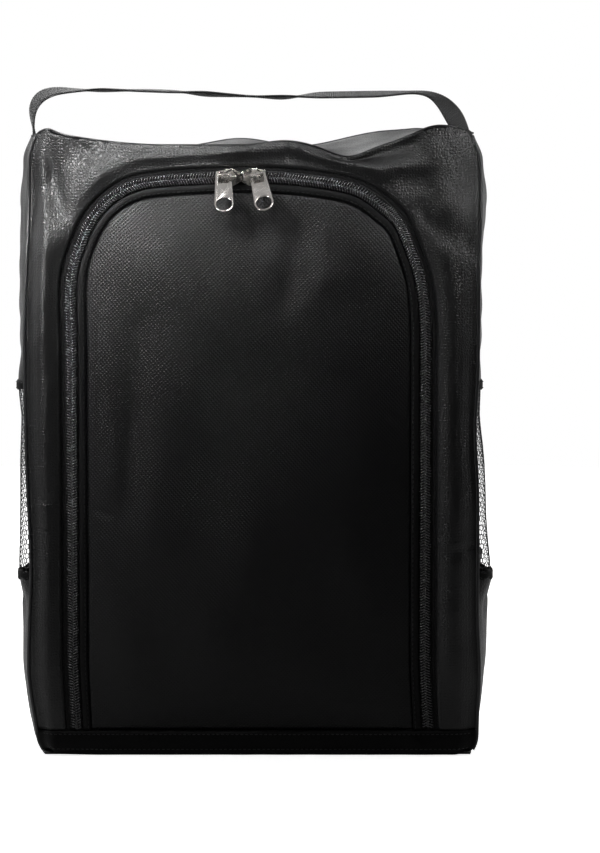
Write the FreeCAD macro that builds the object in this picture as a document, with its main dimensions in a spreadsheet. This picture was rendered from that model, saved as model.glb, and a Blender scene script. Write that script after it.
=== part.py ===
import FreeCAD, Part
import math
import os

import Sketcher

# A golf shoe bag: a soft box of coated cloth with a large arched zip door in its front.
# Millimetres. +Z up, front towards -Y, origin at the middle of the base's underside.

DRIVING_SIZES = {
    "bag_width": 264.0,
    "bag_depth": 130.0,
    "bag_height": 366.0,
    "top_sag": 7.0,
    "top_rise": 0.7,
    "side_bulge": 4.5,
    "cloth_thick": 1.6,
    "base_thick": 2.0,
    "board_thick": 2.0,
    "board_inset": 7.0,
    "band_height": 15.0,
    "sewing_gap": 0.3,
    "mesh_low": 106.0,
    "mesh_high": 218.0,
    "mesh_thick": 0.8,
    "binding_wide": 7.0,
    "binding_thick": 1.0,
    "piping_radius": 1.5,
    "arch_half": 103.5,
    "arch_corner": 55.0,
    "arch_top_radius": 300.0,
    "arch_spring": 280.0,
    "frame_setback": 7.6,
    "coil_half": 3.8,
    "coil_split": 0.6,
    "tape_split": 0.7,
    "coil_deep": 2.2,
    "tape_wide": 13.0,
    "tape_thick": 0.6,
    "welt_near": 5.4,
    "welt_far": 8.3,
    "welt_deep": 2.8,
    "door_setback": 8.6,
    "slider_long": 14.0,
    "slider_half": 5.0,
    "slider_nose": 2.6,
    "slider_tail": 3.9,
    "wing_thick": 1.2,
    "flange_wide": 0.9,
    "flange_deep": 1.8,
    "post_half": 0.4,
    "post_long": 3.0,
    "wing_gap": 3.5,
    "bail_under": 3.9,
    "bail_thick": 1.0,
    "bail_half": 0.8,
    "bail_tail": 4.1,
    "bail_nose": 4.5,
    "tab_thick": 1.0,
    "tab_half": 4.6,
    "tab_ring": 5.6,
    "tab_hole": 4.5,
    "tab_above": 3.0,
    "tab_reach": 19.2,
    "tab_window_half": 3.1,
    "tab_window_low": 4.2,
    "tab_window_high": 1.8,
    "web_wide": 25.0,
    "web_thick": 1.5,
    "handle_half": 128.0,
    "handle_spring": 380.0,
    "handle_corner": 9.0,
    "handle_sag_radius": 4200.0,
    "anchor_long": 22.0,
}

# Places that are not sizes: turns in degrees about the zip arch's centre, and the tabs' lean.
MEETING_TURN = -1.2
SLIDER_SPACE = 0.4
TAB_TILT = 38.0
TAB_LEAN = {"left": -2.0, "right": -13.0}
TAB_LIFT = 2.4
TAB_OFFSET = 0.7

SIDES = {"left": -1, "right": 1}


class Dim:
    """A number that remembers the sheet expression that it comes from."""

    def __init__(self, value, text=None):
        self.value = float(value)
        self.text = text or repr(float(value))

    def _join(self, other, sign, value):
        return Dim(value, "(" + self.text + " " + sign + " " + as_dim(other).text + ")")

    def __add__(self, other):
        return self._join(other, "+", self.value + as_dim(other).value)

    def __sub__(self, other):
        return self._join(other, "-", self.value - as_dim(other).value)

    def __mul__(self, other):
        return self._join(other, "*", self.value * as_dim(other).value)

    def __truediv__(self, other):
        return self._join(other, "/", self.value / as_dim(other).value)

    def __neg__(self):
        return Dim(-self.value, "(-1 * " + self.text + ")")

    def root(self):
        return Dim(math.sqrt(self.value), "sqrt(" + self.text + ")")


def as_dim(number):
    return number if isinstance(number, Dim) else Dim(number)


class Sizes:
    """The sheet of driving sizes, each read back as a Dim."""

    def __init__(self, doc, sizes):
        self.sheet = doc.addObject("Spreadsheet::Sheet", "Sizes")
        for row, (alias, value) in enumerate(sizes.items(), start=1):
            self.sheet.set("A" + str(row), alias)
            self.sheet.set("B" + str(row), str(value))
            self.sheet.setAlias("B" + str(row), alias)
        doc.recompute()
        for alias in sizes:
            setattr(self, alias, Dim(self.sheet.get(alias), "Sizes." + alias))


# ---------------------------------------------------------------- sketches


def arc_between(start, end, radius):
    """The circle of this radius through both points, its centre left of the way for a positive radius."""
    middle = (start + end) / 2
    half = (end - start) / 2
    rise = math.sqrt(max(radius * radius - half.Length * half.Length, 0.0))
    left = FreeCAD.Vector(-half.y, half.x, 0) / half.Length
    return middle + left * math.copysign(rise, radius)


def angle_of(point, centre):
    return math.atan2(point.y - centre.y, point.x - centre.x)


def add_stretch(sketch, start, end, radius):
    """Adds one line or arc, and returns its number and which of its ends is the way's start and end."""
    if radius is None:
        return sketch.addGeometry(Part.LineSegment(start, end)), 1, 2
    centre = arc_between(start, end, radius.value)
    circle = Part.Circle(centre, FreeCAD.Vector(0, 0, 1), abs(radius.value))
    first, last = angle_of(start, centre), angle_of(end, centre)
    if radius.value > 0:
        return sketch.addGeometry(Part.ArcOfCircle(circle, first, last)), 1, 2
    return sketch.addGeometry(Part.ArcOfCircle(circle, last, first)), 2, 1


def pin(sketch, geometry, end, point):
    """Holds one end at its place, bound to the sheet."""
    for kind, value in (("DistanceX", point[0]), ("DistanceY", point[1])):
        value = as_dim(value)
        number = sketch.addConstraint(
            Sketcher.Constraint(kind, -1, 1, geometry, end, value.value)
        )
        sketch.setExpression("Constraints[" + str(number) + "]", value.text)


def draw(sketch, outline, closed=True):
    """Draws an outline of (x, y, radius): radius belongs to the arc that leaves the point, or is None."""
    points = [FreeCAD.Vector(as_dim(x).value, as_dim(y).value, 0) for x, y, _ in outline]
    count = len(outline) if closed else len(outline) - 1
    stretches = []
    for number in range(count):
        radius = outline[number][2]
        radius = None if radius is None else as_dim(radius)
        following = points[(number + 1) % len(points)]
        stretches.append(add_stretch(sketch, points[number], following, radius))
        if radius is not None:
            size = sketch.addConstraint(
                Sketcher.Constraint("Radius", stretches[-1][0], abs(radius.value))
            )
            sketch.setExpression("Constraints[" + str(size) + "]", "abs(" + radius.text + ")")
    for number, (geometry, start, _) in enumerate(stretches):
        pin(sketch, geometry, start, outline[number])
    for number, (geometry, _, end) in enumerate(stretches):
        if closed or number + 1 < len(stretches):
            following, start, _ = stretches[(number + 1) % len(stretches)]
            sketch.addConstraint(
                Sketcher.Constraint("Coincident", geometry, end, following, start)
            )
        else:
            pin(sketch, geometry, end, outline[-1])


def draw_circle(sketch, x, y, radius):
    centre = FreeCAD.Vector(as_dim(x).value, as_dim(y).value, 0)
    geometry = sketch.addGeometry(
        Part.Circle(centre, FreeCAD.Vector(0, 0, 1), as_dim(radius).value)
    )
    pin(sketch, geometry, 3, (x, y))
    size = sketch.addConstraint(Sketcher.Constraint("Radius", geometry, as_dim(radius).value))
    sketch.setExpression("Constraints[" + str(size) + "]", as_dim(radius).text)


def rectangle(x_low, x_high, y_low, y_high):
    return [
        (x_low, y_low, None),
        (x_high, y_low, None),
        (x_high, y_high, None),
        (x_low, y_high, None),
    ]


# ---------------------------------------------------------------- bodies and features


def new_body(doc, name):
    body = doc.addObject("PartDesign::Body", name)
    body.Label = name
    return body


def sketch_on(body, role, outlines, offset=None):
    """A sketch on one of the body's own origin planes, moved along its normal by offset."""
    sketch = body.newObject("Sketcher::SketchObject", body.Name + "_sketch")
    plane = next(p for p in body.Origin.OriginFeatures if p.Role == role)
    sketch.AttachmentSupport = [(plane, "")]
    sketch.MapMode = "FlatFace"
    if offset is not None:
        sketch.setExpression("AttachmentOffset.Base.z", as_dim(offset).text)
    for outline in outlines:
        draw(sketch, outline)
    return sketch


def pad(body, sketch, length, both_ways=False, backwards=False):
    feature = body.newObject("PartDesign::Pad", body.Name + "_pad")
    feature.Profile = sketch
    feature.setExpression("Length", as_dim(length).text)
    feature.SideType = "Symmetric" if both_ways else "One side"
    feature.Reversed = backwards
    body.Tip = feature
    return feature


def place(body, **moves):
    for axis, value in moves.items():
        body.setExpression("Placement.Base." + axis, as_dim(value).text)


def front_plate(doc, name, outlines, back_y, thick):
    """A plate facing the front: its back at back_y, its thickness towards -Y."""
    body = new_body(doc, name)
    pad(body, sketch_on(body, "XZ_Plane", outlines), thick)
    place(body, y=back_y)
    return body


def level_plate(doc, name, outlines, low, thick):
    """A level plate: its underside at low."""
    body = new_body(doc, name)
    pad(body, sketch_on(body, "XY_Plane", outlines), thick)
    place(body, z=low)
    return body


# ---------------------------------------------------------------- shapes that repeat


class Arch:
    """An inverted U: two legs, two corner arcs and one top arc, which crowns or, if sagging, dips."""

    def __init__(self, half, corner, top_radius, spring, sagging=False):
        self.half = half
        self.corner = corner
        self.top_radius = top_radius
        self.spring = spring
        self.sign = -1 if sagging else 1
        reach = half - corner
        apart = top_radius - corner * self.sign
        drop = (apart * apart - reach * reach).root()
        self.centre = spring - drop * self.sign
        self.across = reach / apart
        self.rise = drop / apart

    def way(self, offset, bottom):
        """The arch moved outwards by offset, from the left leg's foot to the right's."""
        corner = self.corner + offset
        edge = self.half + offset
        knee_x = self.half - self.corner + self.across * corner
        knee_z = self.spring + self.rise * corner
        top = self.top_radius + offset * self.sign
        return [
            (-edge, bottom, None),
            (-edge, self.spring, -corner),
            (-knee_x, knee_z, top * -self.sign),
            (knee_x, knee_z, -corner),
            (edge, self.spring, None),
            (edge, bottom, None),
        ]

    def ring(self, inner, outer, bottom):
        """The closed outline between two offsets."""
        return self.way(outer, bottom) + turned(self.way(inner, bottom))


def turned(way):
    """The same way walked from its end to its start."""
    radii = [step[2] for step in way[:-1]]
    back = [None if r is None else -as_dim(r) for r in reversed(radii)] + [None]
    return [(x, y, r) for (x, y, _), r in zip(reversed(way), back)]


def sag_radius(half, sag):
    return (half * half + sag * sag) / (sag * 2)


def plan_outline(size, half, y_half):
    """The bag's plan: straight front and back, and sides that bulge."""
    radius = sag_radius(y_half, size.side_bulge)
    return [
        (-half, -y_half, None),
        (half, -y_half, radius),
        (half, y_half, None),
        (-half, y_half, radius),
    ]


def side_strip(doc, size, name, side, low, high, inner, thick):
    """A wall of the bulging side, from inner outwards, between two heights."""
    half = size.bag_width / 2
    y_half = size.bag_depth / 2 - size.cloth_thick
    radius = sag_radius(y_half, size.side_bulge)
    near = half + inner
    far = near + thick
    sign = SIDES[side]
    outline = [
        (far * sign, -y_half, radius * sign),
        (far * sign, y_half, None),
        (near * sign, y_half, -radius * sign),
        (near * sign, -y_half, None),
    ]
    body = new_body(doc, name + "_" + side)
    pad(body, sketch_on(body, "XY_Plane", [outline]), high - low)
    place(body, z=low)
    return body


def tube(doc, name, arch, offset, bottom, radius, y):
    """A round cord of piping along an arch moved outwards by offset."""
    body = new_body(doc, name)
    path = sketch_on(body, "XZ_Plane", [])
    draw(path, arch.way(offset, bottom), closed=False)
    profile = sketch_on(body, "XY_Plane", [], offset=bottom)
    draw_circle(profile, -arch.half - offset, 0, radius)
    pipe = body.newObject("PartDesign::AdditivePipe", name + "_pipe")
    pipe.Profile = profile
    pipe.Spine = (path, [])
    body.Tip = pipe
    place(body, y=y)
    return body


# ---------------------------------------------------------------- the sewn shell


def seam_arch(size):
    """The edge of the front and back panels: straight sides, round corners and a sagging top."""
    half = size.bag_width / 2
    corner = size.frame_setback
    radius = sag_radius(half, size.top_sag)
    centre = size.bag_height - size.top_sag + radius
    reach = half - corner
    apart = radius + corner
    spring = centre - (apart * apart - reach * reach).root()
    return Arch(half, corner, radius, spring, sagging=True)


def front_and_back(doc, size, arch):
    half = size.bag_width / 2
    y_half = size.bag_depth / 2
    bottom = size.band_height
    seam = seam_arch(size)
    frame = seam.way(as_dim(0), bottom) + turned(arch.way(size.frame_setback, bottom))
    back = seam.way(as_dim(0), as_dim(0))
    band = rectangle(-half, half, 0, bottom)
    inside_y = -y_half + size.cloth_thick
    return [
        front_plate(doc, "front_frame_panel", [frame], inside_y, size.cloth_thick),
        front_plate(doc, "front_base_band", [band], inside_y, size.cloth_thick),
        front_plate(doc, "back_panel", [back], y_half, size.cloth_thick),
    ]


def base_and_board(doc, size):
    y_half = size.bag_depth / 2 - size.cloth_thick
    half = size.bag_width / 2 - size.cloth_thick
    base = plan_outline(size, half, y_half)
    inset = size.board_inset
    board = rectangle(inset - half, half - inset, inset - y_half, y_half - inset)
    return [
        level_plate(doc, "base_panel", [base], 0, size.base_thick),
        level_plate(doc, "base_stiffener", [board], size.base_thick, size.board_thick),
    ]


def top_panel(doc, size):
    """The top: its plan bulges like the sides, and it sags between its ends."""
    half = size.bag_width / 2
    y_half = size.bag_depth / 2 - size.cloth_thick
    reach = half + size.side_bulge * 2
    thick = size.cloth_thick
    body = new_body(doc, "top_panel")
    slab_low = size.bag_height - size.top_sag * 3
    slab = sketch_on(body, "XY_Plane", [plan_outline(size, half, y_half)], offset=slab_low)
    pad(body, slab, size.top_sag * 4)
    high = size.bag_height + size.top_rise
    radius = sag_radius(reach, size.top_sag)
    above = [
        (-reach, high, radius),
        (reach, high, None),
        (reach, high + size.top_sag * 2, None),
        (-reach, high + size.top_sag * 2, None),
    ]
    below = [
        (-reach, high - thick, radius),
        (reach, high - thick, None),
        (reach, slab_low - thick, None),
        (-reach, slab_low - thick, None),
    ]
    for outline in (above, below):
        cut = body.newObject("PartDesign::Pocket", "top_panel_cut")
        cut.Profile = sketch_on(body, "XZ_Plane", [outline])
        cut.SideType = "Symmetric"
        cut.setExpression("Length", (size.bag_depth * 2).text)
        body.Tip = cut
    return body


def side_panels(doc, size):
    """Each side: a cloth panel below, net in the middle and a cloth panel above, with bound joins."""
    made = []
    thick = size.cloth_thick
    mesh_in = (thick + size.mesh_thick) / -2
    top = size.bag_height - size.top_sag / 2
    half_binding = size.binding_wide / 2
    for side in SIDES:
        strips = [
            ("side_lower", as_dim(0), size.mesh_low, -thick, thick),
            ("side_mesh", size.mesh_low, size.mesh_high, mesh_in, size.mesh_thick),
            ("side_upper", size.mesh_high, top, -thick, thick),
        ]
        for name, join in (("pocket_hem", size.mesh_low), ("mesh_top_binding", size.mesh_high)):
            strips.append(
                (name, join - half_binding, join + half_binding, as_dim(0), size.binding_thick)
            )
        for name, low, high, inner, wall in strips:
            made.append(side_strip(doc, size, name, side, low, high, inner, wall))
    return made


def edges_and_bindings(doc, size):
    """Piping round the front and back edges, and the folded tape that binds the seams inside."""
    radius = size.piping_radius
    seam = seam_arch(size)
    out = radius + size.sewing_gap / 3
    outer = -size.cloth_thick * 1.2
    outline = seam.ring(outer - size.base_thick, outer, size.base_thick + 0.5)
    y_piping = size.bag_depth / 2 + size.sewing_gap
    y_bound = size.bag_depth / 2 - size.cloth_thick
    deep = size.binding_wide / 2
    return [
        tube(doc, "front_piping", seam, out, size.base_thick, radius, -y_piping),
        tube(doc, "back_piping", seam, out, size.base_thick, radius, y_piping),
        front_plate(doc, "front_seam_binding", [outline], deep - y_bound, deep),
        front_plate(doc, "back_seam_binding", [outline], y_bound, deep),
    ]


# ---------------------------------------------------------------- the zip and the door


def zip_halves(doc, size, arch):
    """The outer half of the zip is sewn to the frame, the inner half to the door."""
    face = -size.bag_depth / 2 + size.cloth_thick
    low = size.band_height
    split = size.coil_split
    edge = size.tape_split
    tape = size.tape_wide
    coil = size.coil_half
    start = low + size.sewing_gap
    behind = face + size.tape_thick
    return [
        front_plate(doc, "zip_tape_outer", [arch.ring(edge, tape, low / 3)], behind, size.tape_thick),
        front_plate(doc, "zip_coil_outer", [arch.ring(split, coil, start)], face, size.coil_deep),
        front_plate(doc, "zip_tape_inner", [arch.ring(-tape, -edge, start)], behind, size.tape_thick),
        front_plate(doc, "zip_coil_inner", [arch.ring(-coil, -split, start)], face, size.coil_deep),
    ]


def door(doc, size, arch):
    face = -size.bag_depth / 2 + size.cloth_thick
    start = size.band_height + size.sewing_gap
    panel = arch.way(-size.door_setback, start)
    welt = arch.ring(-size.welt_far, -size.welt_near, start)
    reach = arch.half - size.tape_wide
    strip = rectangle(-reach, reach, size.base_thick * 2 + size.sewing_gap, start)
    behind = face + size.tape_thick
    return [
        front_plate(doc, "door_panel", [panel], face, size.cloth_thick),
        front_plate(doc, "door_welt", [welt], face, size.welt_deep),
        front_plate(doc, "door_seam_tape", [strip], behind, size.tape_thick),
    ]


# ---------------------------------------------------------------- sliders and pull tabs


def slider_outline(size, sign):
    """The slider's wing: a narrow tail, shoulders and a pointed nose towards the other slider."""
    reach = size.slider_long / 2
    tail, half, nose = size.slider_tail, size.slider_half, size.slider_nose
    shoulder = reach / 3
    outline = [
        (-reach * sign, -tail, None),
        (shoulder * sign, -half, None),
        (reach * sign, -nose, None),
        (reach * sign, nose, None),
        (shoulder * sign, half, None),
        (-reach * sign, tail, None),
    ]
    return outline


def slider_body(doc, size, side):
    """One casting: front wing, two flanges, the post between the coils and the back wing."""
    sign = -SIDES[side]
    body = new_body(doc, "slider_" + side)
    pad(body, sketch_on(body, "XZ_Plane", [slider_outline(size, sign)]), size.wing_thick)
    flange_in = size.slider_half - size.flange_wide
    ends = (-size.slider_long / 6 * sign, size.slider_long / 6 * sign)
    for edge in (1, -1):
        strip = [
            (ends[0], flange_in * edge, None),
            (ends[1], flange_in * edge, None),
            (ends[1], size.slider_half * edge, None),
            (ends[0], size.slider_half * edge, None),
        ]
        clipped = sketch_on(body, "XZ_Plane", [strip])
        pad(body, clipped, size.flange_deep, backwards=True)
    post_near = size.slider_long / 2 - size.post_long - 0.5
    post_far = post_near + size.post_long
    post = rectangle(post_near * sign, post_far * sign, -size.post_half, size.post_half)
    pad(body, sketch_on(body, "XZ_Plane", [post]), size.wing_gap, backwards=True)
    reach = size.slider_long / 2
    wing = rectangle(-reach * sign, reach * sign, -size.slider_half, size.post_half)
    back = sketch_on(body, "XZ_Plane", [wing], offset=-size.wing_gap)
    pad(body, back, size.wing_thick * 0.8, backwards=True)
    return body


def slider_bail(doc, size, side):
    """The bridge on the slider that the tab's loop hangs on."""
    sign = -SIDES[side]
    high = size.wing_thick + size.bail_under + size.bail_thick
    under = size.wing_thick + size.bail_under
    foot = size.wing_thick
    tail, nose, wall = -size.bail_tail, size.bail_nose, size.bail_thick
    staple = [
        (tail * sign, -foot, None),
        (tail * sign, -high, None),
        (nose * sign, -high, None),
        (nose * sign, -foot, None),
        ((nose - wall) * sign, -foot, None),
        ((nose - wall) * sign, -under, None),
        ((tail + wall) * sign, -under, None),
        ((tail + wall) * sign, -foot, None),
    ]
    body = new_body(doc, "slider_bail_" + side)
    pad(body, sketch_on(body, "XY_Plane", [staple]), size.bail_half * 2, both_ways=True)
    return body


def pull_tab(doc, size, side):
    """A flat tab with a window for the bail and a round hole at its free end."""
    half, ring, reach = size.tab_half, size.tab_ring, size.tab_reach
    outline = [
        (-half, size.tab_above, None),
        (-ring, -reach, ring),
        (0, -reach - ring, ring),
        (ring, -reach, None),
        (half, size.tab_above, None),
    ]
    window_half = size.tab_window_half
    window = rectangle(-window_half, window_half, -size.tab_window_low, size.tab_window_high)
    body = new_body(doc, "pull_tab_" + side)
    sketch = sketch_on(body, "XZ_Plane", [outline, window])
    draw_circle(sketch, 0, -reach, size.tab_hole)
    pad(body, sketch, size.tab_thick, both_ways=True)
    return body


def slider_sets(doc, size, arch):
    """Both sliders with their bails and tabs, nose to nose on the arch's top."""
    made = []
    centre = FreeCAD.Vector(0, -size.bag_depth.value / 2, arch.centre.value)
    radius = arch.top_radius.value
    wing_y = size.cloth_thick.value - size.coil_deep.value - size.sewing_gap.value
    half_turn = math.degrees((size.slider_long.value + SLIDER_SPACE) / 2 / radius)
    for side, sign in SIDES.items():
        turn = FreeCAD.Rotation(FreeCAD.Vector(0, 1, 0), MEETING_TURN + sign * half_turn)
        seat = centre + turn.multVec(FreeCAD.Vector(0, wing_y, radius))
        for body in (slider_body(doc, size, side), slider_bail(doc, size, side)):
            body.Placement = FreeCAD.Placement(seat, turn)
            made.append(body)
        leg = (size.bail_tail.value - size.bail_thick.value / 2) * sign
        front = -size.wing_thick.value - TAB_LIFT
        pivot = seat + turn.multVec(FreeCAD.Vector(leg, front, 0))
        tilt = FreeCAD.Rotation(FreeCAD.Vector(1, 0, 0), -TAB_TILT)
        lean = FreeCAD.Rotation(FreeCAD.Vector(0, 1, 0), TAB_LEAN[side])
        tab = pull_tab(doc, size, side)
        aside = FreeCAD.Vector(-TAB_OFFSET * sign, 0, 0)
        swing = lean.multiply(tilt)
        tab.Placement = FreeCAD.Placement(pivot + lean.multVec(aside), swing)
        made.append(tab)
        print("slider", side, "centre", tuple(round(v, 3) for v in seat), "turn", turn.Angle)
        print("tab", side, "pivot", tuple(round(v, 3) for v in pivot))
        hole = tab.Placement.multVec(FreeCAD.Vector(0, 0, -size.tab_reach.value))
        normal = swing.multVec(FreeCAD.Vector(0, -1, 0))
        print("hole", side, tuple(round(v, 4) for v in hole), tuple(round(v, 5) for v in normal))
    return made


# ---------------------------------------------------------------- the handle


def handle(doc, size):
    """A webbing strap: its span, its two short legs and the ends sewn in under the top panel."""
    half_thick = size.web_thick / 2
    arch = Arch(
        size.handle_half,
        size.handle_corner,
        size.handle_sag_radius,
        size.handle_spring,
        sagging=True,
    )
    span = arch.ring(-half_thick, half_thick, size.handle_spring)
    made = [new_body(doc, "handle_webbing")]
    joined = [step for number, step in enumerate(span) if number not in (0, 5, 6, 11)]
    pad(made[0], sketch_on(made[0], "XZ_Plane", [joined]), size.web_wide, both_ways=True)
    foot = size.bag_height + size.sewing_gap
    anchor_high = size.bag_height - size.cloth_thick * 2
    stretches = {
        "handle_leg": (foot, size.handle_spring),
        "handle_anchor": (anchor_high - size.anchor_long, anchor_high),
    }
    for side, sign in SIDES.items():
        for name, (low, high) in stretches.items():
            near = (size.handle_half - half_thick) * sign
            far = (size.handle_half + half_thick) * sign
            body = new_body(doc, name + "_" + side)
            sketch = sketch_on(body, "XZ_Plane", [rectangle(near, far, low, high)])
            pad(body, sketch, size.web_wide, both_ways=True)
            made.append(body)
    return made


# ---------------------------------------------------------------- build and write


def check(doc, pieces):
    failed = [o.Name for o in doc.Objects if "Invalid" in o.State or "Error" in o.State]
    for piece in pieces:
        shape = piece.Shape
        if shape.isNull() or not shape.isValid() or len(shape.Solids) == 0:
            failed.append(piece.Label)
    if failed:
        raise SystemExit("failed: " + ", ".join(failed))


def build():
    doc = FreeCAD.newDocument("golf_shoe_bag")
    size = Sizes(doc, DRIVING_SIZES)
    arch = Arch(size.arch_half, size.arch_corner, size.arch_top_radius, size.arch_spring)
    pieces = front_and_back(doc, size, arch)
    pieces += base_and_board(doc, size)
    pieces.append(top_panel(doc, size))
    pieces += side_panels(doc, size)
    pieces += edges_and_bindings(doc, size)
    pieces += zip_halves(doc, size, arch)
    pieces += door(doc, size, arch)
    pieces += slider_sets(doc, size, arch)
    pieces += handle(doc, size)
    doc.recompute()
    check(doc, pieces)
    os.makedirs("parts", exist_ok=True)
    for piece in pieces:
        piece.Shape.exportStep("parts/" + piece.Label + ".step")
        box = piece.Shape.BoundBox
        corners = (box.XMin, box.XMax, box.YMin, box.YMax, box.ZMin, box.ZMax)
        print(piece.Label, round(piece.Shape.Volume), [round(v, 2) for v in corners])


build()
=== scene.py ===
import math

import bmesh
import bpy
import numpy as np
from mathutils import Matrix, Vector


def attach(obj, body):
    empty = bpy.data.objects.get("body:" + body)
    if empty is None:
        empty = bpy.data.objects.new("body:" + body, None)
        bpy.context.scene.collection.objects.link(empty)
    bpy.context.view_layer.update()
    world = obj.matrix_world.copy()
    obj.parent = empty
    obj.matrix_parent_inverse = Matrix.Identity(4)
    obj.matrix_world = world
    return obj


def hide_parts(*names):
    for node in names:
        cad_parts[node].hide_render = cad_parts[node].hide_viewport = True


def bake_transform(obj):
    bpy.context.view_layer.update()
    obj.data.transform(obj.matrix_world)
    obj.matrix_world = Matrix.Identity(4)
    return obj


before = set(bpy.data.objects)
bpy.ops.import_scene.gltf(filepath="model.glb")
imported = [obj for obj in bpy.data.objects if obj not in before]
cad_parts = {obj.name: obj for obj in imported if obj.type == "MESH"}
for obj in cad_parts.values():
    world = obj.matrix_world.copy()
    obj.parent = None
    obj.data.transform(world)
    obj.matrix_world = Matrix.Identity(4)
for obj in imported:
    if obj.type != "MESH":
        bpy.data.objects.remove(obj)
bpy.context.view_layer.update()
MM = 0.001  # shapes are worked out in mm, and the scene is in metres

# ---------------------------------------------------------------- the bag's sizes and the zip's arch, in mm

HALF, CORNER, TOP_R, SPRING = 103.5, 55.0, 300.0, 280.0
CORNER_X = HALF - CORNER
KNEE = math.asin(CORNER_X / (TOP_R - CORNER))
TOP_Z = SPRING - (TOP_R - CORNER) * math.cos(KNEE)
EDGE = 132.0  # half the front's width
BAND = 15.0  # height of the base band
FRONT = -65.0
BACK = 65.0
FRAME_HEM = 5.8  # from the coil's middle to the frame's folded edge
DOOR_HEM = 8.5  # and to the door's edge
CLOTH = 1.2  # thickness of the sides, the top and the base band
FIRM_CLOTH = 1.3  # and of the frame, the door and the back
BASE_CLOTH = 1.4  # and of the base
TAPE_OUTSIDE, TAPE_INSIDE = -63.4, -62.8  # where the two faces of the zip's tapes lie
ARCH_STEP = 1.6  # between the sections of what runs along the zip
SIDE_TOP = 364.5  # height of the sides' upper edge
NET_BINDING, POCKET_HEM = 218.0, 106.0  # heights of the bindings above and below the nets


def smooth(a, b, x):
    """0 before a, 1 after b, and an even S between them."""
    t = np.clip((x - a) / (b - a), 0.0, 1.0)
    return t * t * (3 - 2 * t)


def arch_length(low):
    """Length of the zip's arch, with both its feet at the height low."""
    return 2 * (SPRING - low) + 2 * CORNER * (math.pi / 2 - KNEE) + 2 * TOP_R * KNEE


def arch_at(s, low):
    """Points (x, z) and outward normals along the arch, from its left foot over the top to its right foot."""
    s = np.asarray(s, float)
    leg = SPRING - low
    turn = CORNER * (math.pi / 2 - KNEE)
    whole = arch_length(low)
    right = s > whole / 2
    q = np.where(right, whole - s, s)
    angle = np.full(q.shape, math.pi)
    cx = np.full(q.shape, -CORNER_X)
    cz = np.minimum(low + q, SPRING)
    radius = np.full(q.shape, CORNER)
    on_turn = (q > leg) & (q <= leg + turn)
    angle = np.where(on_turn, math.pi - (q - leg) / CORNER, angle)
    on_top = q > leg + turn
    angle = np.where(on_top, math.pi / 2 + KNEE - (q - leg - turn) / TOP_R, angle)
    cx = np.where(on_top, 0.0, cx)
    cz = np.where(on_top, TOP_Z, cz)
    radius = np.where(on_top, TOP_R, radius)
    nx, nz = np.cos(angle), np.sin(angle)
    x, z = cx + radius * nx, cz + radius * nz
    sign = np.where(right, -1.0, 1.0)
    return x * sign, z, nx * sign, nz


def offset_of(x, z):
    """How far a point lies outside the arch, less than 0 inside."""
    ax = np.abs(x)
    side = ax - HALF
    top = np.hypot(x, z - TOP_Z) - TOP_R
    corner = np.hypot(np.maximum(ax - CORNER_X, 0), np.maximum(z - SPRING, 0)) - CORNER
    rounded = (ax > CORNER_X) & (z > SPRING)
    return np.where(rounded, np.maximum(np.maximum(side, top), corner), np.maximum(side, top))


# ---------------------------------------------------------------- how the cloth lies


def hump(x, z, cx, cz, rx, rz, turn=0.0):
    """1 at a point, falling off round it in an ellipse."""
    c, s = math.cos(math.radians(turn)), math.sin(math.radians(turn))
    dx, dz = x - cx, z - cz
    u, v = (dx * c + dz * s) / rx, (-dx * s + dz * c) / rz
    return np.exp(-(u * u + v * v))


def crease(x, z, x0, z0, x1, z1, wide):
    """1 along a line from one point to the other, falling off to its sides and its ends."""
    lx, lz = x1 - x0, z1 - z0
    length = math.hypot(lx, lz)
    along = ((x - x0) * lx + (z - z0) * lz) / length
    aside = ((x - x0) * lz - (z - z0) * lx) / length
    past = np.maximum(np.maximum(-along, along - length), 0)
    return np.exp(-(aside / wide) ** 2 - (past / (wide * 1.6)) ** 2)


def ripple(x, z, seed, size):
    """Slow, shallow unevenness of soft cloth, between -1 and 1."""
    rng = np.random.default_rng(seed)
    total = 0.0
    for _ in range(7):
        a = rng.uniform(0, 2 * math.pi)
        k = 2 * math.pi / (size * rng.uniform(0.6, 1.8))
        total = total + np.sin(k * (x * math.cos(a) + z * math.sin(a)) + rng.uniform(0, 2 * math.pi))
    return total / 4.0


def flat_seam(x):
    """Height of the top seam in the front's flat pattern."""
    return 359.0 + 7.0 * (np.abs(x) / EDGE) ** 2


def front_seam(x):
    """Height of the top seam at the front: it sags, most of all right of the middle."""
    z = 358.3 + 8.0 * np.clip((-x - 52) / 72, 0, 1) ** 1.8 + 2.0 * hump(x, 0, -124, 0, 6, 1)
    z = z + 7.7 * (np.maximum(x, 0) / EDGE) ** 4 + 7.5 * hump(x, 0, 110, 0, 18, 1)
    return z + 2.4 * hump(x, 0, 20, 0, 15, 1) - 6.8 * hump(x, 0, 58, 0, 16, 1)


def back_seam(x):
    """Height of the top seam at the back."""
    z = 357.4 + 7.5 * (np.abs(x) / EDGE) ** 4 + 6.0 * hump(x, 0, -9, 0, 27, 1)
    return z + 9.5 * smooth(20, 85, x) * (1 - 0.6 * smooth(100, EDGE, x))


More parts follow.
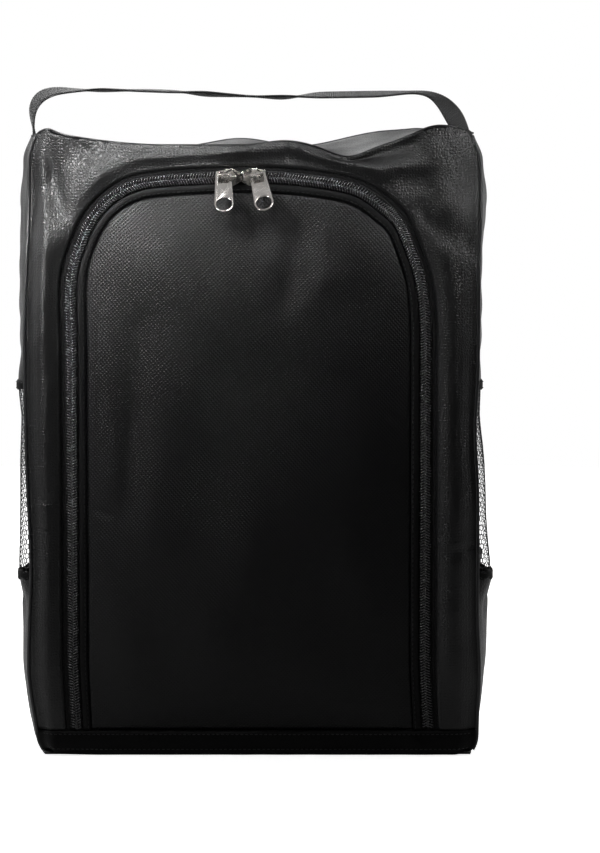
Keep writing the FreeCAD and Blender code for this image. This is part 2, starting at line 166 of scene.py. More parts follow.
def warp(x, z):
    """Moves the front's flat pattern to where the sagging bag has it."""
    x, z = np.broadcast_arrays(np.asarray(x, float), np.asarray(z, float))
    edge = smooth(112, EDGE, np.abs(x))
    dx = -2.0 * smooth(5, 60, z) * (1 - edge)
    dx = dx - 6.2 * hump(x, z, 101, 300, 24, 25) * (1 - edge)
    dx = dx + 1.5 * hump(x, z, -101, 300, 12, 13) - 1.0 * hump(x, z, -108, 268, 15, 16)
    dz = 3.0 * hump(x, z, -68, 329, 31, 26) - 3.6 * hump(x, z, 78, 322, 15, 15)
    left = 4.5 * smooth(350, 368, z) - 0.8 * hump(0, z, 0, 235, 1, 45) + 2.2 * hump(0, z, 0, 112, 1, 40)
    left = left + 6.5 * (1 - smooth(-5, 55, z)) + 1.0 * smooth(240, 330, z)
    tuck = 4.5 * np.clip(1 - z / 9, 0, 1) ** 2
    right = -4.5 * smooth(350, 368, z) + 1.6 * hump(0, z, 0, 328, 1, 26) - 1.8 * hump(0, z, 0, 192, 1, 26)
    right = right + 1.4 * hump(0, z, 0, 48, 1, 22)
    dx = dx + edge * np.where(x < 0, left + tuck, right - tuck)
    dz = dz + (front_seam(x) - flat_seam(x)) * smooth(346, 361, z)
    return x + dx, z + dz


def swell(x, z):
    """How far the front stands out of its flat plane, in mm."""
    x, z = np.broadcast_arrays(np.asarray(x, float), np.asarray(z, float))
    off = offset_of(x, z)
    inside = np.maximum(-DOOR_HEM - off, 0)
    above_base = 1 - np.exp(-np.maximum(z - BAND, 0) / 20)
    door = 11.0 * (1 - np.exp(-inside / 34)) * above_base
    door = door + smooth(4, 30, inside) * above_base * (
        -3.4 * hump(x, z, 6, 312, 17, 15, -12)
        + 1.9 * crease(x, z, 45, 322, 47, 285, 7)
        - 1.2 * crease(x, z, 30, 318, 22, 270, 8)
        + 1.2 * hump(x, z, -45, 300, 18, 30)
        - 1.6 * crease(x, z, -62, 250, -70, 150, 9)
        + 1.3 * crease(x, z, 70, 240, 60, 120, 12)
        - 1.2 * hump(x, z, -10, 180, 35, 60)
        + 0.9 * ripple(x, z, 3, 70)
    )
    door = door + smooth(1, 8, inside) * above_base * (
        1.0 * crease(x, z, -84, 262, -83, 165, 9)
        - 0.9 * crease(x, z, -94, 147, -83, 143, 2.0)
        - 0.7 * crease(x, z, 84, 200, 92, 194, 2.4)
    )
    out_of_zip = np.maximum(off - FRAME_HEM, 0)
    strip = smooth(0, 9, out_of_zip)
    rim = smooth(115, EDGE, np.abs(x))
    up = smooth(292, 338, z)
    framing = 3.6 * np.sin(np.pi * np.clip(out_of_zip / 26, 0, 1)) ** 0.8
    framing = framing * smooth(BAND, 70, z) * (1 - 0.4 * rim) * (1 - 0.75 * up)
    framing = framing - 6.0 * rim * rim
    framing = framing - up * 3.4 * np.clip(out_of_zip / 18, 0, 1.6)
    framing = framing + strip * (
        1.7 * crease(x, z, -66, 350, -8, 355, 5.5)
        + 1.7 * crease(x, z, -8, 355, 22, 356, 4.5)
        + 2.4 * crease(x, z, 30, 356, 72, 345, 4.5)
        + 2.4 * crease(x, z, 72, 345, 97, 347, 5.0)
        + 3.6 * crease(x, z, 108, 350, 120, 326, 9.0)
        - 2.6 * crease(x, z, 62, 353, 96, 358, 5.0)
        - 1.3 * crease(x, z, 24, 362, 24, 345, 2.4)
        - 2.6 * crease(x, z, -120, 366, -112, 325, 6.0)
        + 2.6 * hump(x, z, -90, 338, 16, 17, 20)
        - 1.2 * crease(x, z, -101, 362, -92, 352, 3.0)
        + 1.4 * crease(x, z, -122, 320, -121, 250, 6)
        - 1.6 * crease(x, z, 104, 318, 126, 300, 6)
        - 1.1 * crease(x, z, -124, 152, -112, 149, 2.6)
        - 0.8 * crease(x, z, 113, 118, 127, 122, 2.8)
        + 0.4 * ripple(x, z, 5, 44)
    )
    lean = -0.09 * np.clip(-x - 12, 0, 130) * smooth(225, 340, z)
    near_sliders = np.exp(-(((x + 6) / 26) ** 4) - ((z - 338) / 10) ** 4)
    return (door + framing + lean) * (1 - near_sliders)


def front(x, z, y):
    """A point of the flat front pattern as the bag has it: (..., 3) in mm."""
    x, z, y = np.broadcast_arrays(*(np.asarray(a, float) for a in (x, z, y)))
    wx, wz = warp(x, z)
    return np.stack([wx, y - swell(x, z), wz], axis=-1)


# ---------------------------------------------------------------- mesh making


def new_piece(name, verts, faces, body, slot, material):
    """A smooth mesh object in the scene, on its body; its slot is not used."""
    mesh = bpy.data.meshes.new(name)
    mesh.from_pydata((np.asarray(verts) * MM).tolist(), [], [list(f) for f in faces])
    mesh.update()
    bm = bmesh.new()
    bm.from_mesh(mesh)
    bmesh.ops.remove_doubles(bm, verts=bm.verts, dist=1e-7)
    bmesh.ops.recalc_face_normals(bm, faces=bm.faces)
    bm.to_mesh(mesh)
    bm.free()
    mesh.polygons.foreach_set("use_smooth", [True] * len(mesh.polygons))
    mesh.materials.append(material)
    piece = bpy.data.objects.new(name, mesh)
    bpy.context.scene.collection.objects.link(piece)
    if body:
        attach(piece, body)
    return piece


def grid_faces(rows, cols, start=0, wrap=False, flip=False):
    """The quads of a grid of points; wrap joins its last column to its first."""
    i, j = np.meshgrid(np.arange(rows - 1), np.arange(cols if wrap else cols - 1), indexing="ij")
    k = (j + 1) % cols
    quads = np.stack([i * cols + j, i * cols + k, (i + 1) * cols + k, (i + 1) * cols + j], axis=-1)
    quads = quads.reshape(-1, 4)
    quads = quads[:, ::-1] if flip else quads
    return (quads + start).tolist()


def normals_of(grid):
    a = np.gradient(grid, axis=0)
    b = np.gradient(grid, axis=1)
    n = np.cross(a, b)
    return n / np.maximum(np.linalg.norm(n, axis=-1, keepdims=True), 1e-9)


def plate(grid, thick, towards):
    """A closed sheet of cloth whose outer face is the grid; towards points roughly inwards."""
    n = normals_of(grid)
    facing = np.sign(np.sum(n * np.asarray(towards, float), axis=-1, keepdims=True))
    inner = grid + n * np.where(facing == 0, 1, facing) * thick
    rows, cols = grid.shape[:2]
    count = rows * cols
    verts = np.concatenate([grid.reshape(-1, 3), inner.reshape(-1, 3)])
    faces = grid_faces(rows, cols) + grid_faces(rows, cols, count, flip=True)
    rim = [(0, j) for j in range(cols)] + [(i, cols - 1) for i in range(1, rows)]
    rim += [(rows - 1, j) for j in range(cols - 2, -1, -1)] + [(i, 0) for i in range(rows - 2, 0, -1)]
    ids = [i * cols + j for i, j in rim]
    for a, b in zip(ids, ids[1:] + ids[:1]):
        faces.append([b, a, a + count, b + count])
    return verts, faces


def loft(rings):
    """A closed solid through rings of equal numbers of points, (sections, points, 3)."""
    rings = np.asarray(rings, float)
    sections, points = rings.shape[:2]
    faces = grid_faces(sections, points, wrap=True)
    faces.append(list(range(points))[::-1])
    faces.append([(sections - 1) * points + j for j in range(points)])
    return rings.reshape(-1, 3), faces


def tube(path, radius, around=10):
    """A round tube along a path of points; radius may be one number or one per point."""
    path = np.asarray(path, float)
    tangent = np.gradient(path, axis=0)
    tangent /= np.linalg.norm(tangent, axis=1, keepdims=True)
    up = np.array([0.0, 1.0, 0.0]) if abs(tangent[0][1]) < 0.9 else np.array([1.0, 0.0, 0.0])
    rings = []
    radius = np.broadcast_to(radius, (len(path),))
    for p, t, r in zip(path, tangent, radius):
        side = np.cross(t, up)
        side /= np.linalg.norm(side)
        up = np.cross(side, t)
        a = full_turn(around)[:, None]
        rings.append(p + r * (np.cos(a) * side + np.sin(a) * up))
    return loft(rings)


def join(parts):
    """One list of points and one of faces from several."""
    verts, faces, start = [], [], 0
    for v, f in parts:
        verts.append(v)
        faces += [[i + start for i in face] for face in f]
        start += len(v)
    return np.concatenate(verts), faces


def many(template_verts, template_faces, places):
    """Copies a small shape to many places; each is an origin and three axes, arrays of (n, 3)."""
    origin, ax, ay, az = places
    t = np.asarray(template_verts, float)
    verts = (
        origin[:, None, :]
        + t[None, :, 0:1] * ax[:, None, :]
        + t[None, :, 1:2] * ay[:, None, :]
        + t[None, :, 2:3] * az[:, None, :]
    )
    n, k = verts.shape[:2]
    faces = []
    for i in range(n):
        faces += [[v + i * k for v in f] for f in template_faces]
    return verts.reshape(-1, 3), faces


def lengths_along(path):
    """The distance run from a path's start to each of its points."""
    return np.concatenate([[0], np.cumsum(np.linalg.norm(np.diff(path, axis=0), axis=1))])


def full_turn(points):
    """Even angles once round."""
    return np.linspace(0, 2 * math.pi, points, endpoint=False)


def soften(path, times):
    """Rounds a path, its two ends kept."""
    for _ in range(times):
        path = np.concatenate([path[:1], (path[:-2] + 2 * path[1:-1] + path[2:]) / 4, path[-1:]])
    return path


def capsule(half, radius, around=6, sink=0.0):
    """A short rounded thread along x, its ends dipping by sink."""
    spots = np.linspace(-1, 1, 7)
    size = np.sqrt(np.clip(1 - np.abs(spots) ** 3.0, 0.02, 1)) * radius
    a = full_turn(around)
    rings = []
    for s, r in zip(spots, size):
        dip = r * np.sin(a) - sink * s * s
        rings.append(np.stack([np.full(around, s * half), r * np.cos(a), dip], axis=1))
    return loft(rings)


def resample(path, step):
    """Points along a path, a step apart."""
    path = np.asarray(path, float)
    run = lengths_along(path)
    n = max(int(run[-1] / step), 2)
    at = (np.arange(n) + 0.5) * run[-1] / n
    return np.stack([np.interp(at, run, path[:, k]) for k in range(3)], axis=1)


def stitch_row(path, outward, long=2.3, gap=0.9, radius=0.28):
    """A row of sewn stitches along a path lying on a surface that faces outward."""
    spots = resample(path, long + gap)
    tangent = np.gradient(spots, axis=0)
    tangent /= np.linalg.norm(tangent, axis=1, keepdims=True)
    out = np.broadcast_to(np.asarray(outward, float), spots.shape)
    out = out - np.sum(out * tangent, axis=1, keepdims=True) * tangent
    out = out / np.linalg.norm(out, axis=1, keepdims=True)
    side = np.cross(out, tangent)
    verts, faces = capsule(long / 2, radius, sink=radius * 0.8)
    return many(verts, faces, (spots, tangent, side, out))


def apply_modifiers(piece):
    depsgraph = bpy.context.evaluated_depsgraph_get()
    done = bpy.data.meshes.new_from_object(piece.evaluated_get(depsgraph))
    piece.modifiers.clear()
    piece.data = done


# ---------------------------------------------------------------- materials


WAVE_PERIOD = 0.314


def remap(tree, value, at, to):
    """A value carried from one range to another."""
    made = tree.nodes.new("ShaderNodeMapRange")
    tree.links.new(value, made.inputs["Value"])
    made.inputs["From Min"].default_value, made.inputs["From Max"].default_value = at
    made.inputs["To Min"].default_value, made.inputs["To Max"].default_value = to
    return made.outputs["Result"]


class Nodes:
    """Builds one procedural material's nodes."""

    def __init__(self, name, colour, roughness, metallic=0.0, specular=0.5, sheen=0.0):
        self.material = bpy.data.materials.new(name)
        self.material.use_nodes = True
        self.tree = self.material.node_tree
        self.shader = next(n for n in self.tree.nodes if n.type == "BSDF_PRINCIPLED")
        self.shader.inputs["Base Color"].default_value = (*colour, 1)
        self.shader.inputs["Roughness"].default_value = roughness
        self.shader.inputs["Metallic"].default_value = metallic
        self.shader.inputs["Specular IOR Level"].default_value = specular
        self.shader.inputs["Sheen Weight"].default_value = sheen
        self.coords = self.tree.nodes.new("ShaderNodeTexCoord").outputs["Object"]
        self.normal = None

    def node(self, kind, **values):
        made = self.tree.nodes.new(kind)
        for key, value in values.items():
            if key in made.inputs:
                made.inputs[key].default_value = value
            else:
                setattr(made, key, value)
        return made

    def link(self, a, b):
        self.tree.links.new(a, b)

    def noise(self, scale, detail=3.0):
        made = self.node("ShaderNodeTexNoise", Scale=scale, Detail=detail)
        self.link(self.coords, made.inputs["Vector"])
        return made.outputs["Fac"]

    def cells(self, scale, feature, randomness):
        made = self.node("ShaderNodeTexVoronoi", feature=feature, Scale=scale, Randomness=randomness)
        self.link(self.coords, made.inputs["Vector"])
        return made.outputs["Distance"]

    def waves(self, scale, direction="X", vector=None):
        """Even bands; their period is WAVE_PERIOD / scale metres."""
        made = self.node("ShaderNodeTexWave", bands_direction=direction, Scale=scale, Distortion=0.0)
        self.link(vector or self.coords, made.inputs["Vector"])
        return made.outputs["Fac"]

    def math(self, operation, a, b=None):
        made = self.node("ShaderNodeMath", operation=operation)
        for socket, value in zip(made.inputs, (a, b)):
            if isinstance(value, (int, float)):
                socket.default_value = value
            elif value is not None:
                self.link(value, socket)
        return made.outputs[0]

    def ramp(self, fac, low, high, at=(0.0, 1.0)):
        return remap(self.tree, fac, at, (low, high))

    def tint(self, fac, low, high):
        made = self.node("ShaderNodeMix", data_type="RGBA")
        self.link(fac, made.inputs["Factor"])
        made.inputs[6].default_value = (*low, 1)
        made.inputs[7].default_value = (*high, 1)
        self.link(made.outputs[2], self.shader.inputs["Base Color"])

    def rough(self, fac, low, high, at=(0.0, 1.0)):
        self.link(self.ramp(fac, low, high, at), self.shader.inputs["Roughness"])

    def bump(self, height, distance, strength=1.0):
        made = self.node("ShaderNodeBump", Strength=strength, Distance=distance)
        self.link(height, made.inputs["Height"])
        if self.normal is not None:
            self.link(self.normal, made.inputs["Normal"])
        self.normal = made.outputs["Normal"]
        self.link(self.normal, self.shader.inputs["Normal"])


def leatherette(name, grain, depth, colour, rough, cross=False, specular=0.5):
    """Coated cloth with a pressed grain, its pitch and depth in mm: pebbles, or fine crossing ribs."""
    m = Nodes(name, colour, rough, specular=specular)
    if cross:
        bent = m.node("ShaderNodeVectorMath", operation="ADD")
        shift = m.node("ShaderNodeTexNoise", Scale=150.0, Detail=2.0)
        m.link(m.coords, shift.inputs["Vector"])
        small = m.node("ShaderNodeVectorMath", operation="SCALE")
        small.inputs["Scale"].default_value = 0.5 * grain * MM
        m.link(shift.outputs["Color"], small.inputs[0])
        m.link(m.coords, bent.inputs[0])
        m.link(small.outputs["Vector"], bent.inputs[1])
        ways = []
        for turn in (42, -48):
            made = m.node("ShaderNodeMapping")
            made.inputs["Rotation"].default_value = (0, math.radians(turn), 0)
            m.link(bent.outputs["Vector"], made.inputs["Vector"])
            ways.append(m.waves(WAVE_PERIOD / (grain * MM), "X", made.outputs["Vector"]))
        height = m.math("MULTIPLY", *ways)
    else:
        edges = m.cells(1000 / grain, "DISTANCE_TO_EDGE", randomness=0.6)
        height = m.ramp(edges, 0, 1, (0.0, 0.42))
    m.bump(height, depth * MM)
    m.bump(m.noise(1500.0, 2.0), 0.008 * MM, 0.4)
    worn = m.noise(38.0, 5.0)
    m.rough(worn, rough - 0.03, rough + 0.05, (0.3, 0.7))
    m.tint(m.noise(22.0, 4.0), tuple(c * 0.8 for c in colour), tuple(c * 1.3 for c in colour))
    return m.material


def build_materials():
    black = (0.0022, 0.0022, 0.0024)
    made = {
        "leatherette": leatherette("leatherette", 1.7, 0.20, black, 0.41, specular=0.47),
        "door_leatherette": leatherette(
            "door_leatherette", 1.6, 0.21, (0.0016, 0.0016, 0.0018), 0.38, cross=True, specular=0.27
        ),
        "band": leatherette("band_leatherette", 1.7, 0.10, black, 0.45, specular=0.12),
        "grained_top": leatherette(
            "grained_top", 1.7, 0.16, (0.005, 0.005, 0.0055), 0.55, specular=0.2
        ),
    }
    m = Nodes("smooth_trim", (0.0028, 0.0028, 0.0030), 0.6, specular=0.16)
    m.bump(m.noise(420.0, 3.0), 0.04 * MM, 0.5)
    m.rough(m.noise(60.0, 4.0), 0.52, 0.66, (0.3, 0.7))
    made["smooth_trim"] = m.material
    m = Nodes("piping_trim", (0.012, 0.012, 0.013), 0.34)
    m.bump(m.noise(500.0, 3.0), 0.04 * MM, 0.5)
    m.rough(m.noise(90.0, 4.0), 0.28, 0.45, (0.3, 0.7))
    made["piping_trim"] = m.material
    m = Nodes("woven_tape", (0.004, 0.004, 0.004), 0.8, specular=0.2)
    weave = m.math("MULTIPLY", m.waves(230, "DIAGONAL"), m.waves(300, "Z"))
    m.bump(weave, 0.12 * MM, 0.9)
    m.tint(weave, (0.002, 0.002, 0.002), (0.008, 0.008, 0.009))
    made["tape"] = m.material
    m = Nodes("coil_nylon", (0.030, 0.030, 0.032), 0.24, specular=0.8)
    m.shader.inputs["IOR"].default_value = 1.6
    m.rough(m.noise(300.0, 3.0), 0.18, 0.3, (0.3, 0.7))
    made["zip_coil"] = m.material
    m = Nodes("net_yarn", (0.020, 0.020, 0.021), 0.42, sheen=0.2)
    m.bump(m.waves(700, "DIAGONAL"), 0.05 * MM, 0.7)
    m.tint(m.noise(160.0, 3.0), (0.012, 0.012, 0.013), (0.035, 0.035, 0.036))
    made["net"] = m.material
    m = Nodes("webbing_yarn", (0.006, 0.006, 0.006), 0.6, specular=0.3, sheen=0.04)
    weave = m.math("MULTIPLY", m.waves(260, "X"), m.waves(330, "DIAGONAL"))
    m.bump(weave, 0.14 * MM, 0.9)
    m.tint(weave, (0.003, 0.003, 0.003), (0.016, 0.016, 0.017))
    made["webbing"] = m.material
    m = Nodes("stitch_thread", (0.009, 0.009, 0.0095), 0.55, specular=0.3, sheen=0.05)
    m.bump(m.waves(1600, "DIAGONAL"), 0.05 * MM, 0.7)
    made["thread"] = m.material
    m = Nodes("board", (0.016, 0.016, 0.016), 0.75)
    m.bump(m.noise(260.0, 5.0), 0.1 * MM, 0.7)
    m.tint(m.noise(40.0, 4.0), (0.010, 0.010, 0.010), (0.026, 0.026, 0.025))
    made["board"] = m.material
    # The tabs' nickel is a darker copy of the sliders' cast nickel: painted shade, so the tilted tabs' reflection of
    # the top light does not go white.
    m = Nodes("nickel", (0.46, 0.44, 0.42), 0.16, metallic=1.0)
    m.rough(m.noise(180.0, 5.0), 0.08, 0.24, (0.35, 0.7))
    m.bump(m.noise(2200.0, 2.0), 0.01 * MM, 0.3)
    m.tint(m.noise(120.0, 3.0), (0.36, 0.34, 0.32), (0.54, 0.52, 0.50))
    made["nickel"] = m.material
    m = Nodes("cast_nickel", (0.74, 0.70, 0.66), 0.27, metallic=1.0)
    m.rough(m.noise(500.0, 4.0), 0.2, 0.36, (0.35, 0.7))
    m.bump(m.noise(900.0, 3.0), 0.02 * MM, 0.4)
    m.tint(m.noise(260.0, 3.0), (0.62, 0.57, 0.52), (0.82, 0.80, 0.77))
    made["cast_nickel"] = m.material
    return made


MATS = build_materials()


def cloth_piece(name, grid, thick, towards, body, slot, material, node):
    """A sheet of cloth over a grid, in place of a CAD node."""
    piece = new_piece(name, *plate(grid, thick, towards), body, slot, MATS[material])
    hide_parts(node)


def thread_piece(name, rows, body, slot):
    new_piece(name, *join(rows), body, slot, MATS["thread"])


# ---------------------------------------------------------------- front: frame, band, door


def outer_edge(x, z, nx, nz):
    """How far it is from a point of the arch along its normal to the front's outer edge."""
    side = np.where(np.abs(nx) > 1e-6, (EDGE - np.abs(x)) / np.maximum(np.abs(nx), 1e-6), 1e9)
    top = np.full(x.shape, 30.0)
    for _ in range(12):
        seam = flat_seam(x + nx * top)
        top = np.where(nz > 0.05, (seam - z) / np.maximum(nz, 0.05), 1e9)
    return np.minimum(side, top)


def edge_roll(distance, radius):
    """How far a folded edge turns back, for a distance from its fold."""
    d = np.clip(1 - distance / radius, 0, 1)
    return radius * (1 - np.sqrt(1 - d * d))


def build_frame():
    low = BAND
    s = np.concatenate([
        np.linspace(0, SPRING - low, 130, endpoint=False),
        np.linspace(SPRING - low, arch_length(low) / 2, 150),
    ])
    s = np.concatenate([s, (arch_length(low) - s[::-1])[1:]])
    x, z, nx, nz = arch_at(s, low)
    reach = outer_edge(x, z, nx, nz)
    u = (np.linspace(0, 1, 30) ** 1.35)[None, :]
    depth = (reach - FRAME_HEM)[:, None] * u
    px = x[:, None] + nx[:, None] * (FRAME_HEM + depth)
    pz = z[:, None] + nz[:, None] * (FRAME_HEM + depth)
    grid = front(px, pz, FRONT + edge_roll(depth, 2.2))
    cloth_piece(
        "frame_panel_soft", grid, FIRM_CLOTH, (0, 1, 0), "bag_body", "leatherette", "leatherette", "front_frame_panel"
    )
    hem = FRAME_HEM + 2.2
    line = front(x + nx * hem, z + nz * hem, FRONT - 0.05)
    thread_piece("frame_stitches", [stitch_row(line, (0, -1, 0))], "bag_body", "leatherette")


def build_band():
    x = np.linspace(-EDGE, EDGE, 170)
    z = np.concatenate([np.linspace(0.0, BAND - 1.2, 12), [BAND - 0.5, BAND]])
    X, Z = np.meshgrid(x, z)
    left_lift = 0.8 * (1 - smooth(-EDGE, -90, X))
    wrinkle = 0.7 * crease(X, Z, 70, 3, 84, 12, 2.5) + 0.6 * crease(X, Z, 92, 12, 101, 4, 2.5)
    fat = 1.1 * np.sin(np.pi * np.clip((Z + 1) / (BAND + 1), 0, 1)) + 0.25 * ripple(X, Z, 12, 22)
    y = FRONT - 0.5 - fat - wrinkle
    y = y + 1.6 * smooth(BAND - 1.4, BAND, Z) + 2.2 * (1 - smooth(0, 2.6, Z))
    grid = front(X, Z, y)
    grid[..., 2] += left_lift * (1 - Z / BAND)
    grid[..., 2] = np.maximum(grid[..., 2], 0.0)
    cloth_piece("base_band_soft", grid, CLOTH, (0, 1, 0), "bag_body", "leatherette", "band", "front_base_band")
    rows = []
    for height in (3.2, 12.3):
        k = int(np.argmin(np.abs(z - height)))
        rows.append(stitch_row(grid[k][2:-2] + np.array([0, -0.1, 0]), (0, -1, 0), 2.0, 0.8, 0.26))
    thread_piece("band_stitches", rows, "bag_body", "leatherette")


def door_top(x):
    """Height of the door's edge above a point of its width."""
    off = -DOOR_HEM
    ax = np.abs(x)
    corner = SPRING + np.sqrt(np.maximum((CORNER + off) ** 2 - np.maximum(ax - CORNER_X, 0) ** 2, 0))
    top = TOP_Z + np.sqrt((TOP_R + off) ** 2 - ax * ax)
    knee = CORNER_X + math.sin(KNEE) * (CORNER + off)
    return np.where(ax > knee, corner, top)


def build_door():
    start = BAND + 0.4
    half = HALF - DOOR_HEM
    rows, cols = 170, 150
    # The grid is closer near the door's edges, where it turns most.
    x = half * np.sin(np.linspace(-math.pi / 2, math.pi / 2, cols))
    x = 0.55 * x + 0.45 * np.linspace(-half, half, cols)
    t = np.linspace(0, 1, rows)
    t = 0.8 * t + 0.2 * (1 - np.cos(np.pi * t)) / 2
    X = np.broadcast_to(x[None, :], (rows, cols))
    Z = start + t[:, None] * (door_top(x)[None, :] - start)
    inside = -DOOR_HEM - offset_of(X, Z)
    grid = front(X, Z, FRONT + 0.9 * (1 - smooth(0, 1.6, inside)) + edge_roll(Z - start, 0.8))
    cloth_piece(
        "door_panel_soft", grid, FIRM_CLOTH, (0, 1, 0), "door", "door_leatherette", "door_leatherette", "door_panel"
    )


def along(low):
    """Places along the arch, about a step apart."""
    return np.linspace(0, arch_length(low), int(arch_length(low) / ARCH_STEP))


def sweep(section, low):
    """A closed section of (offset, y) carried along the arch and laid as the front lies."""
    x, z, nx, nz = arch_at(along(low), low)
    off = np.array([p[0] for p in section])
    y = np.array([p[1] for p in section])
    return loft(front(x[:, None] + nx[:, None] * off, z[:, None] + nz[:, None] * off, y[None, :]))


def flat_section(near, far, y_out, y_in, steps=6):
    across = np.linspace(near, far, steps)
    return [(o, y_out) for o in across] + [(o, y_in) for o in across[::-1]]


def build_welt_and_tapes():
    low = BAND + 0.4
    crown = []
    for k in range(15):
        a = k / 14
        crown.append((-4.0 - 4.5 * a, FRONT + 0.2 - 0.75 * math.sin(math.pi * a) ** 0.6))
    crown += [(-8.5, FRONT + 0.9), (-4.0, FRONT + 0.9)]
    piece = new_piece("door_welt_soft", *sweep(crown, low), "door", "smooth_trim", MATS["smooth_trim"])
    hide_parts("door_welt")
    x, z, nx, nz = arch_at(along(low), low)
    line = front(x - nx * 7.3, z - nz * 7.3, FRONT - 0.8)
    thread_piece("welt_stitches", [stitch_row(line, (0, -1, 0), 2.0, 0.9, 0.24)], "door", "smooth_trim")
    for name, near, far, foot, body, node in (
        ("tape_outer_soft", 0.7, 13.0, 5.0, "bag_body", "zip_tape_outer"),
        ("tape_inner_soft", -13.0, -0.7, low, "door", "zip_tape_inner"),
    ):
        section = flat_section(near, far, TAPE_OUTSIDE, TAPE_INSIDE, 9)
        piece = new_piece(name, *sweep(section, foot), body, "tape", MATS["tape"])
        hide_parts(node)
    X, Z = np.meshgrid(np.linspace(-90.5, 90.5, 60), np.linspace(4.3, low + 5, 6))
    grid = front(X, Z, FRONT + 2.3)
    cloth_piece("door_hinge_tape_soft", grid, 0.5, (0, 1, 0), "bag_body", "tape", "tape", "door_seam_tape")


def tooth():
    """One turn of the coil in local axes: x along the zip, y across it from its middle, z out."""
    spots = [
        (-0.45, -0.2, 0.6), (-0.4, 0.1, 1.3), (-0.1, 1.1, 0.85),
        (0.35, 2.1, 1.3), (0.6, 2.9, 0.5), (0.7, 3.7, -0.3),
    ]
    size = [0.34, 0.44, 0.40, 0.44, 0.40, 0.3]
    rings = []
    a = full_turn(8)
    for (x, y, z), r in zip(spots, size):
        rings.append(np.stack([x + r * np.cos(a), np.full(8, y), z + r * 0.9 * np.sin(a)], axis=1))
    return loft(rings)


def build_coil():
    low = BAND + 0.6
    pitch = 1.6
    verts, faces = tooth()
    for side, body, node, name in (
        (1, "bag_body", "zip_coil_outer", "coil_outer_soft"),
        (-1, "door", "zip_coil_inner", "coil_inner_soft"),
    ):
        count = int(arch_length(low) / pitch)
        s = (np.arange(count) + (0.5 if side > 0 else 0.0)) * pitch + 0.4
        x, z, nx, nz = arch_at(s, low)
        tx, tz = nz, -nx
        base = FRONT + 1.3
        centre = front(x, z, base)
        ahead = front(x + tx, z + tz, base) - centre
        across = front(x + nx * 3, z + nz * 3, base) - centre
        ahead /= np.linalg.norm(ahead, axis=1, keepdims=True)
        across -= np.sum(across * ahead, axis=1, keepdims=True) * ahead
        across /= np.linalg.norm(across, axis=1, keepdims=True)
        out = np.cross(across, ahead)
        out *= np.sign(-out[:, 1:2])
        v, f = many(verts, faces, (centre, ahead, across * side, out))
        near, far = sorted((side * 0.6, side * 3.7))
        bed = flat_section(near, far, TAPE_OUTSIDE - 0.5, TAPE_OUTSIDE, 4)
        piece = new_piece(name, v, f, body, "zip_coil", MATS["zip_coil"])
        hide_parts(node)
        new_piece(name + "_bed", *sweep(bed, low), body, "tape", MATS["tape"])


# ---------------------------------------------------------------- sides, top, back, base


# How far the sides stand out of their flat planes, from the bottom to the top.
LEFT_HEIGHTS = (0, 20, 63, 90, 108, 142, 200, 224, 290, 325, 366)
LEFT_BULGE = (4, 6.3, 7.2, 7.9, 8.2, 7.3, 4.4, 6.4, 8.4, 8.2, 3.5)
RIGHT_HEIGHTS = (0, 10, 30, 68, 102, 110, 140, 183, 200, 230, 280, 325, 366)
RIGHT_BULGE = (2.2, 3, 5, 8.3, 9.8, 8.8, 7, 5.2, 3.8, 3.8, 4.8, 5.6, 2.5)


def side_surface(sign, v, z, lift=0.0):
    """A point of a side: v runs from -1 at the front to 1 at the back."""
    v, z = np.broadcast_arrays(np.asarray(v, float), np.asarray(z, float))
    wx, _ = warp(np.full(z.shape, sign * EDGE), z)
    front_x = np.abs(wx)
    y_front = FRONT - swell(np.full(z.shape, sign * EDGE), np.clip(z, 0, 366)) + 0.6
    mix = (v + 1) / 2
    edge = front_x * (1 - mix) + EDGE * mix
    if sign < 0:
        bulge = np.interp(z, LEFT_HEIGHTS, LEFT_BULGE)
    else:
        bulge = np.interp(z, RIGHT_HEIGHTS, RIGHT_BULGE)
    bulge = bulge + 0.6 * ripple(v * 60, z, 21 if sign < 0 else 22, 60)
    netted = smooth(84, 112, z) * (1 - smooth(210, 244, z))
    deep = (1 - np.abs(v)) * BACK
    cloth = np.clip(1 - np.abs(v) ** 2.4, 0, 1) ** 0.75
    net = 1 - np.exp(-deep / 3.4) - 1.3 * smooth(9, 50, deep)
    profile = cloth * (1 - netted) + net * netted
    x = edge + bulge * profile + lift
    y = y_front * (1 - mix) + BACK * mix
    return np.stack([sign * x, y, z], axis=-1)


def oval(middle, wide, tall, points):
    """An upright oval round a point, across the bag's width and height."""
    a = full_turn(points)
    x, y, z = middle
    return np.stack([x + wide * np.cos(a), np.full(points, y), z + tall * np.sin(a)], axis=1)


